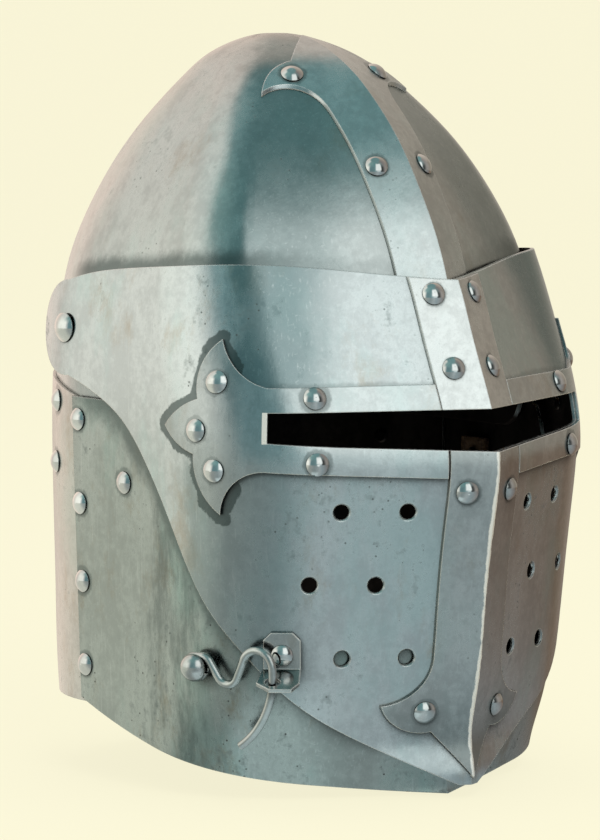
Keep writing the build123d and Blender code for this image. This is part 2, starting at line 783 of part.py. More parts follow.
with BuildPart() as latch_bracket:
    with BuildSketch(bracket_plane):
        with BuildLine():
            Polyline(
                (-bracket_half_width, -bracket_fall), (bracket_half_width, -bracket_fall),
                (bracket_half_width, bracket_rise - bracket_chamfer),
                (bracket_half_width - bracket_chamfer, bracket_rise),
                (bracket_chamfer - bracket_half_width, bracket_rise),
                (-bracket_half_width, bracket_rise - bracket_chamfer), (-bracket_half_width, -bracket_fall),
            )
        make_face()
    extrude(amount=bracket_sheet)
    with BuildSketch(flange_plane):
        with BuildLine():
            Polyline(
                (-bracket_half_width, 0), (bracket_half_width, 0), (bracket_half_width, flange_reach * 0.7),
                (bracket_half_width - bracket_chamfer, flange_reach),
                (bracket_chamfer - bracket_half_width, flange_reach),
                (-bracket_half_width - flange_wing, flange_reach * 0.7), (-bracket_half_width, 0),
            )
        make_face()
        with Locations((eye_hole.X, eye_hole.Y)):
            Circle(eye_hole_radius, mode=Mode.SUBTRACT)
    extrude(amount=-bracket_sheet)
    add(rivet_holes([bracket_seat]), mode=Mode.SUBTRACT)

with BuildPart() as latch_bracket_rivet:
    bracket_grip = sheet + bracket_gap + bracket_sheet
    bracket_face = bracket_plane.offset(bracket_sheet)
    add(rivets([bracket_face], bracket_grip, bracket_rivet_radius, flush=True))

# Liner: a leather cap inside the skull, slit into petals above its band and
# cut away round the pivots.
liner_edge_shares = [
    (0.6019, 0.5318), (0.5243, 0.5434), (0.3495, 0.5867), (0.1165, 0.6257), (-0.7961, 0.6315),
]
liner_top_share = 0.92
petal_foot_share = 0.68
petal_count = 8
petal_slit = 2.4


def liner_edge():
    edge = [at(*share) for share in liner_edge_shares]
    Polyline(at(1.7, liner_top_share), at(1.7, liner_edge_shares[0][1]), edge[0])
    Spline(*edge, tangents=((-1, 0), (-1, 0)))
    top_left, top_right = at(-1.7, liner_top_share), at(1.7, liner_top_share)
    Polyline(edge[-1], at(-1.7, liner_edge_shares[-1][1]), top_left, top_right)


with BuildPart() as liner:
    add(liner_wall)
    add(quarter_block(liner_edge, 2 * half_width, both=True), mode=Mode.INTERSECT)
    with BuildSketch(Plane.XY.offset(petal_foot_share * helm_height)):
        with PolarLocations(half_width, petal_count, start_angle=180 / petal_count):
            Rectangle(2 * half_width, petal_slit)
    extrude(amount=helm_height, mode=Mode.SUBTRACT)
    add(pivot_bore(washer_radius + leather_gap), mode=Mode.SUBTRACT)
    add(rivet_holes(liner_seats), mode=Mode.SUBTRACT)
    add(rivet_holes(skull_strap_seats, rivet_tail_radius + leather_gap), mode=Mode.SUBTRACT)

with BuildPart() as liner_rivets:
    add(rivets(liner_seats, lined_sheet))

# Chin straps: a leather strap inside each side wall, the right one with a buckle.
chin_half_width = 9.0
chin_place = -4.5
chin_top = 150.0
chin_foot = 56.0
fold_radius = 3.7
bar_radius = 1.25
bar_play = 0.15
buckle_half_width = 12.0
buckle_height = 20.0


def chin_edge():
    Polyline(
        (chin_place - chin_half_width, chin_foot), (chin_place + chin_half_width, chin_foot),
        (chin_place + chin_half_width, chin_top), (chin_place - chin_half_width, chin_top),
        (chin_place - chin_half_width, chin_foot),
    )


with BuildPart() as chin_strap_left:
    add(strap_wall)
    add(beam(side_view, chin_edge, 2 * half_width), mode=Mode.INTERSECT)
    add(rivet_holes(chin_rivet_seats), mode=Mode.SUBTRACT)

fold_seat = spot(strap_wall, side_view, chin_place, chin_foot)
fold_place = -(fold_seat.origin.X - fold_radius - bar_play)

with BuildPart() as chin_strap_right:
    mirror(chin_strap_left.part, about=Plane.YZ)
    with BuildSketch(Plane.XZ.offset(-chin_place + chin_half_width)):
        with Locations((fold_place, chin_foot)):
            Circle(fold_radius)
    extrude(amount=-2 * chin_half_width)
    with BuildSketch(Plane.XZ.offset(-chin_place + 2 * chin_half_width)):
        with Locations((fold_place, chin_foot)):
            Circle(bar_radius + bar_play)
    extrude(amount=-4 * chin_half_width, mode=Mode.SUBTRACT)

with BuildPart() as chin_strap_buckle:
    buckle_plane = Plane(origin=(fold_place, chin_place, chin_foot), x_dir=(0, 1, 0), z_dir=(1, 0, 0))
    with BuildLine(buckle_plane) as frame:
        FilletPolyline((buckle_half_width, 0), (buckle_half_width, -buckle_height),
                       (-buckle_half_width, -buckle_height), (-buckle_half_width, 0),
                       radius=2 * bar_radius, close=True)
    with BuildSketch(Plane(origin=frame.wire() @ 0, z_dir=frame.wire() % 0)):
        Circle(bar_radius)
    sweep(path=frame.wire())

with BuildPart() as chin_strap_rivets:
    add(rivets(chin_rivet_seats, lined_sheet))

pieces = {
    "skull": skull, "skull_strap": skull_strap, "skull_strap_rivets": skull_strap_rivets,
    "back_plate": back_plate, "back_rivets": back_rivets, "lower_front_plate": lower_front_plate,
    "seam_rivets_left": seam_rivets_left, "seam_rivets_right": seam_rivets_right,
    "liner": liner, "liner_rivets": liner_rivets, "chin_strap_left": chin_strap_left,
    "chin_strap_right": chin_strap_right, "chin_strap_buckle": chin_strap_buckle,
    "chin_strap_rivets": chin_strap_rivets, "pivot_rivet_left": pivot_rivet_left,
    "pivot_rivet_right": pivot_rivet_right, "pivot_spacer_left": pivot_spacer_left,
    "pivot_spacer_right": pivot_spacer_right, "pivot_washer_left": pivot_washer_left,
    "pivot_washer_right": pivot_washer_right, "visor_plate": visor_plate,
    "eye_band_left": eye_band_left, "eye_band_right": eye_band_right,
    "trefoil_rivets_left": trefoil_rivets_left, "trefoil_rivets_right": trefoil_rivets_right,
    "band_rivets": band_rivets, "brow_strap": brow_strap, "brow_rivets": brow_rivets,
    "nasal_strap": nasal_strap, "nasal_rivets": nasal_rivets, "latch_stud": latch_stud,
    "latch_hook": latch_hook, "latch_bracket": latch_bracket, "latch_bracket_rivet": latch_bracket_rivet,
}
for name, piece in pieces.items():
    piece.part.label = name
    export_step(piece.part, f"parts/{name}.step")
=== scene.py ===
import bpy, bmesh
from math import radians, cos, sin, pi, sqrt
from mathutils import Vector, Matrix
from mathutils.bvhtree import BVHTree


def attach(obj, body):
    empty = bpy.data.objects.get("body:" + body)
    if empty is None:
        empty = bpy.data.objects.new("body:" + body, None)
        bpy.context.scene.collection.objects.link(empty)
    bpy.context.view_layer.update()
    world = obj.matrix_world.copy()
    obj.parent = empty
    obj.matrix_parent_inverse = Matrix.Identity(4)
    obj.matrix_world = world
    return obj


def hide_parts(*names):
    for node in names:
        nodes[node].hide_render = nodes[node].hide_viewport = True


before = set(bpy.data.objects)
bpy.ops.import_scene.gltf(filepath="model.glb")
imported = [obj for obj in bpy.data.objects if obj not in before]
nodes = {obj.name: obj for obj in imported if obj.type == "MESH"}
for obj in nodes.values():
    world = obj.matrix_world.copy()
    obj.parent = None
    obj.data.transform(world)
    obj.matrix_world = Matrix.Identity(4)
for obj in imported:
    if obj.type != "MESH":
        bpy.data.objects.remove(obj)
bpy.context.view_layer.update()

# The room: a pale cream floor that sweeps up into a backdrop, with a soft
# shadow under the helm.
scene = bpy.context.scene
scene.view_settings.view_transform = "Standard"
cream = (0.974, 0.938, 0.708)
floor_glow = 0.90
view_turn = radians(-38)
sweep_half_width = 6
sweep_outline = [(-5, 0), (3.0, 0), (3.6, 0.05), (4.1, 0.25), (4.5, 0.7), (4.6, 1.4), (4.6, 5.0)]


class Signal:
    """a number, colour or vector that runs through a material"""

    def __init__(self, recipe, socket):
        self.recipe, self.socket = recipe, socket

    def _maths(self, operation, *values):
        return self.recipe.node("ShaderNodeMath", {"operation": operation}, dict(enumerate(values)))[0]

    def __add__(self, other): return self._maths("ADD", self, other)
    def __sub__(self, other): return self._maths("SUBTRACT", self, other)
    def __rsub__(self, other): return self._maths("SUBTRACT", other, self)
    def __mul__(self, other): return self._maths("MULTIPLY", self, other)
    def __truediv__(self, other): return self._maths("DIVIDE", self, other)
    def __abs__(self): return self._maths("ABSOLUTE", self)
    def __neg__(self): return self._maths("MULTIPLY", self, -1.0)
    def least(self, other): return self._maths("MINIMUM", self, other)
    def most(self, other): return self._maths("MAXIMUM", self, other)


class Recipe:
    """the node tree of one material"""

    def __init__(self, name):
        self.material = bpy.data.materials.new(name)
        self.material.use_nodes = True
        self.tree = self.material.node_tree
        self.tree.nodes.clear()

    def node(self, kind, settings=None, inputs=None):
        """new node; gives its outputs by number and by name"""
        made = self.tree.nodes.new(kind)
        for name, value in (settings or {}).items():
            if name == "stops":
                for index, (place, colour) in enumerate(value):
                    ends = made.color_ramp.elements
                    stop = ends[index] if index < 2 else ends.new(place)
                    stop.position, stop.color = place, (*colour, 1)
            else:
                setattr(made, name, value)
        for name, value in (inputs or {}).items():
            socket = made.inputs[name]
            if isinstance(value, Signal):
                self.tree.links.new(value.socket, socket)
            elif socket.type == "RGBA" and len(value) == 3:
                socket.default_value = (*value, 1)
            else:
                socket.default_value = value
        outputs = {}
        for index, socket in enumerate(made.outputs):
            outputs[index] = outputs[socket.name] = Signal(self, socket)
        return outputs

    def place(self, turn=(0, 0, 0), stretch=(1, 1, 1), move=(0, 0, 0)):
        """place on the object in metres, turned, stretched and moved"""
        spot = self.node("ShaderNodeTexCoord")["Object"]
        return self.node("ShaderNodeMapping", {}, {
            "Vector": spot, "Rotation": turn, "Scale": stretch, "Location": move})["Vector"]

    def parts(self, where):
        split = self.node("ShaderNodeSeparateXYZ", {}, {"Vector": where})
        return split["X"], split["Y"], split["Z"]

    def joined(self, x, y, z=0.0):
        return self.node("ShaderNodeCombineXYZ", {}, {"X": x, "Y": y, "Z": z})[0]

    def vector(self, operation, first, second=(0, 0, 0), output="Vector"):
        return self.node("ShaderNodeVectorMath", {"operation": operation}, {0: first, 1: second})[output]

    def cloud(self, where, scale, detail=3.0, rough=0.5):
        return self.node("ShaderNodeTexNoise", {}, {
            "Vector": where, "Scale": scale, "Detail": detail, "Roughness": rough})["Fac"]

    def span(self, value, low, high, to_low=0.0, to_high=1.0):
        """to_low up to low, to_high from high on, with a soft run between"""
        return self.node("ShaderNodeMapRange", {"interpolation_type": "SMOOTHSTEP"}, {
            "Value": value, "From Min": low, "From Max": high, "To Min": to_low, "To Max": to_high})["Result"]

    def fade(self, value, low, high, most=1.0):
        return self.span(value, low, high, most, 0.0)

    def ramp(self, value, stops):
        return self.node("ShaderNodeValToRGB", {"stops": stops}, {"Fac": value})["Color"]

    def blend(self, amount, first, second):
        return self.node("ShaderNodeMix", {"data_type": "RGBA"}, {0: amount, 6: first, 7: second})[2]

    def finish(self, shader):
        self.node("ShaderNodeOutputMaterial", {}, {"Surface": shader})
        return self.material


def profile(shape, places):
    """open line of edges through the places"""
    verts = [shape.verts.new(place) for place in places]
    return verts, [shape.edges.new(pair) for pair in zip(verts, verts[1:])]


def link_mesh(name, shape, material):
    """new object at the origin that holds a finished bmesh"""
    mesh = bpy.data.meshes.new(name)
    shape.to_mesh(mesh)
    shape.free()
    mesh.materials.append(material)
    piece = bpy.data.objects.new(name, mesh)
    scene.collection.objects.link(piece)
    return piece


def floor_paint():
    paint = Recipe("cream_paper")
    path = paint.node("ShaderNodeLightPath")
    seen = path["Is Camera Ray"].most(path["Is Glossy Ray"]).most(path["Is Transmission Ray"])
    paper = paint.node("ShaderNodeBsdfDiffuse", {}, {"Color": cream})
    glow = paint.node("ShaderNodeEmission", {}, {"Color": cream, "Strength": 1.0})
    both = paint.node("ShaderNodeMixShader", {}, {
        0: seen * floor_glow, 1: paper["BSDF"], 2: glow["Emission"]})
    return paint.finish(both["Shader"])


sweep = bmesh.new()
_, line = profile(sweep, [(-sweep_half_width, y, z) for y, z in sweep_outline])
grown = bmesh.ops.extrude_edge_only(sweep, edges=line)
far_side = [part for part in grown["geom"] if isinstance(part, bmesh.types.BMVert)]
bmesh.ops.translate(sweep, vec=(2 * sweep_half_width, 0, 0), verts=far_side)
bmesh.ops.rotate(sweep, cent=(0, 0, 0), matrix=Matrix.Rotation(view_turn, 3, "Z"), verts=sweep.verts)
bmesh.ops.recalc_face_normals(sweep, faces=sweep.faces)
for face in sweep.faces:
    face.smooth = True
backdrop = link_mesh("backdrop", sweep, floor_paint())

# The light: an even room and two soft lamps light the floor and the leather.
# A painted cloth tent stands round the helm, and only the steel mirrors it.
room_colour, room_strength = (1.0, 0.98, 0.93, 1), 0.62
lamp_size, lamp_aim = 1.2, Vector((0, 0, 0.17))
world = bpy.data.worlds.new("room")
scene.world = world
world.use_nodes = True
room = world.node_tree.nodes["Background"].inputs
room["Color"].default_value = room_colour
room["Strength"].default_value = room_strength


def lamp(name, place, power):
    light = bpy.data.lights.new(name, "AREA")
    light.shape, light.size, light.size_y = "RECTANGLE", lamp_size, lamp_size
    light.energy = power
    holder = bpy.data.objects.new(name, light)
    holder.location = place
    holder.rotation_euler = (lamp_aim - Vector(place)).to_track_quat("-Z", "Y").to_euler()
    holder.visible_glossy = False
    scene.collection.objects.link(holder)


lamp("key", (-0.7, -1.9, 1.9), 24)
lamp("top", (0.2, 0.3, 2.3), 14)

# The tent: unlit cloth whose colours are given by the way round, 0 behind, 0.25
# on the wearer's left, 0.5 in front and 0.75 on the right. Its outline gives
# radius and height.
wall_stops = [
    (0.0, (1.15, 0.96, 0.84)), (1.0, (1.15, 0.96, 0.84)), (0.08, (0.95, 0.78, 0.67)),
    (0.15, (0.54, 0.48, 0.41)), (0.205, (0.40, 0.36, 0.30)), (0.27, (0.34, 0.30, 0.25)),
    (0.38, (0.40, 0.38, 0.36)), (0.44, (0.06, 0.07, 0.07)), (0.48, (0.06, 0.07, 0.07)),
    (0.50, (0.72, 0.84, 0.87)), (0.54, (0.80, 0.92, 0.93)), (0.57, (0.40, 0.55, 0.57)),
    (0.62, (0.20, 0.34, 0.36)), (0.665, (0.17, 0.29, 0.31)), (0.71, (0.18, 0.31, 0.33)),
    (0.74, (0.80, 0.84, 0.81)), (0.765, (1.22, 1.25, 1.16)), (0.87, (1.12, 1.14, 1.04)),
    (0.93, (0.88, 0.82, 0.74))]
dome_stops = [
    (0.0, (0.92, 0.80, 0.72)), (1.0, (0.92, 0.80, 0.72)), (0.25, (0.50, 0.44, 0.38)),
    (0.375, (0.30, 0.28, 0.27)), (0.5, (0.22, 0.36, 0.37)), (0.625, (0.20, 0.38, 0.39)),
    (0.76, (0.28, 0.46, 0.45)), (0.82, (0.95, 1.00, 0.94)), (0.93, (0.90, 0.88, 0.82))]
ground_stops = [
    (0.0, (1.0, 0.88, 0.76)), (1.0, (1.0, 0.88, 0.76)), (0.15, (0.40, 0.33, 0.27)),
    (0.25, (0.22, 0.155, 0.11)), (0.375, (0.30, 0.30, 0.30)), (0.5, (0.36, 0.45, 0.48)),
    (0.55, (0.48, 0.56, 0.58)), (0.625, (0.30, 0.37, 0.38)), (0.72, (0.40, 0.44, 0.42)),
    (0.78, (0.74, 0.77, 0.68)), (0.875, (0.80, 0.82, 0.72))]
dome_levels, ground_levels = (0.75, 1.45), (0.0, 0.06)
crown_colour, crown_radii, crown_levels = (0.20, 0.36, 0.37), (0.45, 0.80), (1.3, 1.4)
near_colour, near_radii, near_levels = (0.62, 0.75, 0.77), (0.17, 0.26), (0.0, 0.03)
near_turn, near_spread = 0.62, (0.03, 0.07)
window_colour, window_turn, window_spread = (1.18, 1.27, 1.26), 0.533, (0.040, 0.075)
window_foot, window_head = (0.15, 0.45), (1.35, 1.60)
tent_steps = 48
tent_outline = [(0, 0.0002), (1.6, 0.0002), (1.6, 0.1), (1.6, 0.6), (1.5, 1.0), (1.25, 1.35), (0.8, 1.6),
                (0, 1.7)]


def tent_paint():
    """walls, dome and ground, a dark crown, a pale patch near the helm and a bright window"""
    paint = Recipe("tent_cloth")
    x, y, z = paint.parts(paint.place())
    turn = paint.node("ShaderNodeMath", {"operation": "ARCTAN2"}, {0: -x, 1: -y})[0] / (2 * pi) + 0.5
    walls, dome, ground = (paint.ramp(turn, stops) for stops in (wall_stops, dome_stops, ground_stops))
    cloth = paint.blend(paint.span(z, *dome_levels), walls, dome)
    cloth = paint.blend(paint.span(z, *ground_levels), ground, cloth)
    radius = paint.vector("LENGTH", paint.joined(x, y), output="Value")
    crown = paint.fade(radius, *crown_radii) * paint.span(z, *crown_levels)
    cloth = paint.blend(crown, cloth, crown_colour)
    near = paint.fade(abs(turn - near_turn), *near_spread) * paint.fade(z, *near_levels)
    cloth = paint.blend(paint.fade(radius, *near_radii) * near, cloth, near_colour)
    window = paint.fade(abs(turn - window_turn), *window_spread) * paint.span(z, *window_foot)
    cloth = paint.blend(window * paint.fade(z, *window_head), cloth, window_colour)
    glow = paint.node("ShaderNodeEmission", {}, {"Color": cloth, "Strength": 1.0})
    paint.material.cycles.emission_sampling = "NONE"
    return paint.finish(glow["Emission"])


tent = bmesh.new()
edge, line = profile(tent, [(radius, 0, height) for radius, height in tent_outline])
bmesh.ops.spin(tent, geom=edge + line, cent=(0, 0, 0), axis=(0, 0, 1), angle=2 * pi, steps=tent_steps,
               use_merge=True)
bmesh.ops.remove_doubles(tent, verts=tent.verts, dist=1e-6)
tent = link_mesh("light_tent", tent, tent_paint())
for ray in ("camera", "diffuse", "transmission", "volume_scatter", "shadow"):
    setattr(tent, "visible_" + ray, False)

# The camera: the photograph's view, from the wearer's right front.
photo_height, focal_pixels, film = 840, 5553, 36
view_rise, view_aim, view_distance = radians(5.5), Vector((0, 0, 0.166)), 2.619
camera = bpy.data.cameras.new("camera")
camera.lens = focal_pixels / photo_height * film
camera.sensor_width = film
camera.shift_x, camera.shift_y = -0.5 / photo_height, -4 / photo_height
camera.clip_end = 50
eye = bpy.data.objects.new("camera", camera)
back = Vector((sin(view_turn) * cos(view_rise), -cos(view_turn) * cos(view_rise), sin(view_rise)))
eye.location = view_aim + back * view_distance
eye.rotation_euler = (-back).to_track_quat("-Z", "Y").to_euler()
scene.collection.objects.link(eye)
scene.camera = eye

# Skull: one raised shell of mild steel, hand polished to a satin outside and
# left forge black inside, and painted near black there as shade too. It has
# painted shade round its rivets and is darker under the visor's edge.
# Some of these colours paint light and shade: the dark rings and rims, the dark in contacts, the near black
# inside and the lightened edges.
marks = {
    "grime": (0.18, 0.20, 0.19), "scratch": (0.80, 0.82, 0.80), "pit": (0.10, 0.10, 0.09),
    "stain_and_shade": (0.085, 0.11, 0.105), "contact_shade": (0.045, 0.046, 0.042), "edge": (0.90, 0.90, 0.88),
    "forge_black_and_shade": (0.012, 0.011, 0.010), "forge_scale_and_shade": (0.03, 0.026, 0.024)}
tints = {
    "dull": (0.76, 0.76, 0.76), "cool": (0.72, 0.88, 0.86), "warm": (0.66, 0.56, 0.47),
    "dark_reflection": (0.24, 0.33, 0.34)}
# lean of the painted contact shade: the way the light comes from
shade_light_from = (-0.25, 0.30, 0.92)
helm_middle = (0, 0, 0.1)
corner_front, corner_rear, corner_shift = (-0.040, -0.010), (0.012, 0.024), 0.018
shift_levels, dark_reflection_levels, low_dark_reflection = (0.15, 0.19), (0.14, 0.19), 0.6
tallest_edge = 0.3
visor_top = [(-0.082, 0.237), (-0.037, 0.241), (0.002, 0.2445), (0.037, 0.244), (0.067, 0.241),
             (0.088, 0.2376), (0.103, 0.2329)]
top_dark_front, top_dark_end = (-0.02, 0.02), (0.094, 0.106)


def islands(name):
    """middle of each loose part of a CAD node"""
    copy = bmesh.new()
    copy.from_mesh(nodes[name].data)
    bmesh.ops.remove_doubles(copy, verts=copy.verts, dist=1e-6)
    left, middles = set(copy.verts), []
    while left:
        group, front = set(), [left.pop()]
        while front:
            vert = front.pop()
            group.add(vert)
            for side in vert.link_edges:
                other = side.other_vert(vert)
                if other in left:
                    left.discard(other)
                    front.append(other)
        middles.append(sum((v.co for v in group), Vector()) / len(group))
    copy.free()
    return middles


def left_side(name):
    """rivet places on the wearer's left, which stand for both sides"""
    return [middle for middle in islands(name) if middle.x > -0.001]


def tint(colour, shares):
    return tuple(c * share for c, share in zip(colour, shares))


def quarter(paint):
    """place in the view that wraps round each front corner: across it and up"""
    x, y, z = paint.parts(paint.place())
    return (abs(x) + y) * (1 / sqrt(2)), z


def edge_height(paint, across, outline):
    """height of an outline at a place across the quarter view"""
    first, last = outline[0][0], outline[-1][0]
    share = (across - first) / (last - first)
    stops = [((s - first) / (last - first), (z / tallest_edge,) * 3) for s, z in outline]
    return paint.ramp(share, [stops[0], stops[-1], *stops[1:-1]]) * tallest_edge


def beside_edge(paint, gap, ragged, reach, most, inside):
    """dark band beyond the visor's edge, which thins out some way in under the visor"""
    return paint.fade(gap + ragged, *reach, most) - paint.span(-gap, 0.004, 0.020, 0.0, inside)


def painted_dark_reflection(paint, ragged):
    """1 round the front corners, mostly above the slot, where a dark reflection is painted into the colour"""
    across, up = quarter(paint)
    across = across + ragged * 1.5 - paint.span(up, *shift_levels, corner_shift, 0.0)
    corner = paint.span(across, *corner_front) * paint.fade(across, *corner_rear)
    return corner * paint.span(up, *dark_reflection_levels, low_dark_reflection, 1.0)


def spot_gap(paint, where, spots):
    """distance to the nearest spot, on both sides alike"""
    x, y, z = paint.parts(where)
    mirrored = paint.joined(abs(x), y, z)
    nearest = None
    for spot in spots:
        gap = paint.vector("DISTANCE", mirrored, tuple(spot), "Value")
        nearest = gap if nearest is None else nearest.least(gap)
    return nearest


def worn_edge(paint, radius):
    """rounded normal, and 1 where it leans away from the face"""
    facing = paint.node("ShaderNodeNewGeometry")["Normal"]
    rounded = paint.node("ShaderNodeBevel", {"samples": 4}, {"Radius": radius})["Normal"]
    return rounded, paint.fade(paint.vector("DOT_PRODUCT", rounded, facing, "Value"), 0.80, 0.97)


def painted_contact_shade(paint, depth):
    """painted shade: up to 0.85 where a neighbour shuts out the light, most on the side away from the lean"""
    lit = paint.vector("ADD", paint.node("ShaderNodeNewGeometry")["Normal"], shade_light_from)
    open_sky = paint.node("ShaderNodeAmbientOcclusion", {"samples": 6}, {
        "Distance": depth, "Normal": paint.vector("NORMALIZE", lit)})["AO"]
    return paint.fade(open_sky, 0.42, 0.76, 0.85)


def facing_inwards(paint, where):
    outward = paint.vector("NORMALIZE", paint.vector("SUBTRACT", where, helm_middle))
    own = paint.node("ShaderNodeTexCoord")["Normal"]
    return paint.fade(paint.vector("DOT_PRODUCT", own, outward, "Value"), -0.6, -0.5)


def steel(name, light=(0.56, 0.60, 0.60), spots=(), reach=0.0078, stain_and_shade=None, shine=0.17, tarnish=1.0,
          edges=0.0008, contact_shade=0.009, dark_reflection=0.0, bright=None, seed=0.0):
    """satin steel with films, scratches, pits, stains, painted shade round rivets and parts, a painted dark
    reflection, edges lightened by wear and as a painted highlight, and a black inside darkened further as
    painted shade
    """
    paint = Recipe(name)
    drift = (seed, seed * 0.7, -seed)
    where = paint.place(move=drift)
    smeared = paint.place(stretch=(1, 1, 0.45), move=drift)
    plain = paint.place()
    broad = paint.cloud(where, scale=9.0, detail=2.0)
    middle = paint.cloud(smeared, scale=34.0, detail=6.0, rough=0.66)
    fine = paint.cloud(where, scale=210.0, detail=5.0, rough=0.7)
    drawn = paint.cloud(paint.place(turn=(0.15, 0.1, 0.1), stretch=(800, 800, 30)), scale=1.0, detail=2.0)
    crossed = paint.cloud(paint.place(turn=(0.9, 0.4, 1.1), stretch=(50, 1000, 800)), scale=1.0, detail=2.0)

    tone = paint.span(middle * 0.6 + fine * 0.4, 0.40, 0.62)
    colour = paint.blend(tone, tint(light, tints["dull"]), light)
    cool = paint.span(paint.cloud(smeared, scale=19.0, detail=6.0, rough=0.66), 0.46, 0.64)
    colour = paint.blend(cool * (0.45 * tarnish), colour, tint(light, tints["cool"]))
    streaked = paint.place(stretch=(1, 1, 0.55), move=(-seed, 0.4, seed))
    warm = paint.span(paint.cloud(streaked, scale=18.0, detail=7.0, rough=0.72), 0.53, 0.68)
    colour = paint.blend(warm * (0.62 * tarnish), colour, tint(light, tints["warm"]))
    grime = paint.span(middle * 0.5 + fine * 0.5, 0.53, 0.66) * (0.42 * tarnish)
    colour = paint.blend(grime, colour, marks["grime"])
    # painted reflection: the dark band the front corners mirror, painted into the colour
    dark_reflection_mask = painted_dark_reflection(paint, (middle - 0.5) * 0.02) * dark_reflection
    colour = paint.blend(dark_reflection_mask, colour, tint(light, tints["dark_reflection"]))

    lines = paint.span(drawn, 0.60, 0.74) * 0.5 + paint.span(crossed, 0.62, 0.76) * 0.5
    colour = paint.blend(lines * 0.30, colour, marks["scratch"])
    pits = paint.node("ShaderNodeTexVoronoi", {}, {"Vector": where, "Scale": 230.0})["Distance"]
    pits = paint.fade(pits, 0.05, 0.15) * paint.span(middle, 0.52, 0.60) * tarnish
    colour = paint.blend(pits * 0.7, colour, marks["pit"])

    halo = None
    # painted shade: a dark, slightly ragged ring round each rivet
    if spots:
        gap = spot_gap(paint, plain, spots) + (fine - 0.5) * 0.003 + (middle - 0.5) * 0.006
        halo = paint.fade(gap, reach - 0.0016, reach, 0.5)
    if stain_and_shade:
        mark = stain_and_shade(paint, (fine - 0.5) * 0.004 + (middle - 0.5) * 0.008)
        halo = mark if halo is None else halo.most(mark)
    # the stain colour paints real smut and painted shade alike: rivet rings, trefoil rims and the band under
    # the visor's lower edge
    if halo is not None:
        colour = paint.blend(halo, colour, marks["stain_and_shade"])
    # painted shade in contacts, under parts and below the hook's wire
    colour = paint.blend(painted_contact_shade(paint, contact_shade), colour, marks["contact_shade"])
    rounded, worn = worn_edge(paint, edges)
    if bright:
        worn = worn.most(bright(paint, (fine - 0.5) * 0.002 + (middle - 0.5) * 0.003))
    # edges lightened and made less metallic: partly wear, partly a painted highlight along each edge
    colour = paint.blend(worn * 0.85, colour, marks["edge"])
    # the inside is painted near black: forge black, and painted shade
    inner = facing_inwards(paint, plain)
    colour = paint.blend(inner, colour, paint.blend(tone, marks["forge_black_and_shade"], marks["forge_scale_and_shade"]))

    rough = paint.span(middle, 0.35, 0.7, shine, shine * 1.75) + grime * 0.2 + pits * 0.2 - lines * 0.03
    if halo is not None:
        rough = rough + halo * 0.10
    height = broad * 0.8 + middle * 0.08 + drawn * 0.012 + crossed * 0.010 - pits * 0.02
    bump = paint.node("ShaderNodeBump", {}, {
        "Height": height, "Distance": 0.004, "Strength": 0.28, "Normal": rounded})["Normal"]
    shader = paint.node("ShaderNodeBsdfPrincipled", {}, {
        "Base Color": colour, "Metallic": 1.0 - worn * (1.0 - inner) * 0.6, "Roughness": rough + inner * 0.35,
        "Normal": bump})
    return paint.finish(shader["BSDF"])


def dress(material, *names):
    for name in names:
        for slot in nodes[name].material_slots:
            slot.material = material


# a darker band on the skull along the visor's top edge
def under_visor_top(paint, ragged):
    across, up = quarter(paint)
    gap = up - edge_height(paint, across, visor_top)
    shade = beside_edge(paint, gap, ragged, (0.001, 0.008), 0.75, 0.45)
    return shade * paint.span(across, *top_dark_front, 0.25, 1.0) * paint.fade(across, *top_dark_end)


strap_spots = left_side("skull_strap_rivets")
dress(steel("skull_steel", light=(0.60, 0.63, 0.615), tarnish=0.8, stain_and_shade=under_visor_top, dark_reflection=0.5, seed=0.3,
            spots=strap_spots + left_side("liner_rivets")), "skull")

# Skull strap: a creased strip of cleaner steel along the ridge, riveted down
# through the skull, with a fishtail near the crown.
dress(steel("skull_strap_steel", light=(0.68, 0.71, 0.70), spots=strap_spots, seed=1.3, tarnish=0.5),
      "skull_strap")

# Plates: the nape plate and the one lower front plate, darker and more pitted
# than the skull, with painted shade round their rivets and under the visor's
# lower edge, and smut that has run down the cheek.
visor_foot = [(-0.084, 0.0065), (-0.060, 0.018), (-0.028, 0.035), (-0.009, 0.049), (0.010, 0.068),
              (0.027, 0.088), (0.045, 0.124), (0.060, 0.154), (0.074, 0.173), (0.087, 0.182), (0.103, 0.1892)]
foot_slope_share = 0.62
cheek, smut_middle, smut_spread = (0.005, 0.035), 0.042, (0.010, 0.030)


def under_visor_foot(paint, ragged):
    """painted shade in a band under the visor's lower edge, and smut that has run down the cheek"""
    across, up = quarter(paint)
    gap = (edge_height(paint, across, visor_foot) - up) * foot_slope_share
    painted_edge_shade = beside_edge(paint, gap, ragged * 1.2, (0.002, 0.011), 0.7, 0.4)
    painted_edge_shade = painted_edge_shade * paint.span(across, *cheek, 0.15, 1.0)
    smut = paint.cloud(paint.place(stretch=(1, 1, 0.25)), scale=60.0, detail=7.0, rough=0.75)
    smut = paint.span(smut, 0.44, 0.66, 0.0, 0.55)
    return painted_edge_shade.most(smut * paint.span(abs(across - smut_middle), *smut_spread, 1.0, 0.15))


dress(steel("back_plate_steel", light=(0.68, 0.66, 0.62), spots=left_side("back_rivets"), seed=2.1),
      "back_plate")
dress(steel("lower_plate_steel", light=(0.46, 0.50, 0.47), stain_and_shade=under_visor_foot, tarnish=1.6, seed=3.7,
            spots=left_side("seam_rivets_left") + left_side("chin_strap_rivets")), "lower_front_plate")

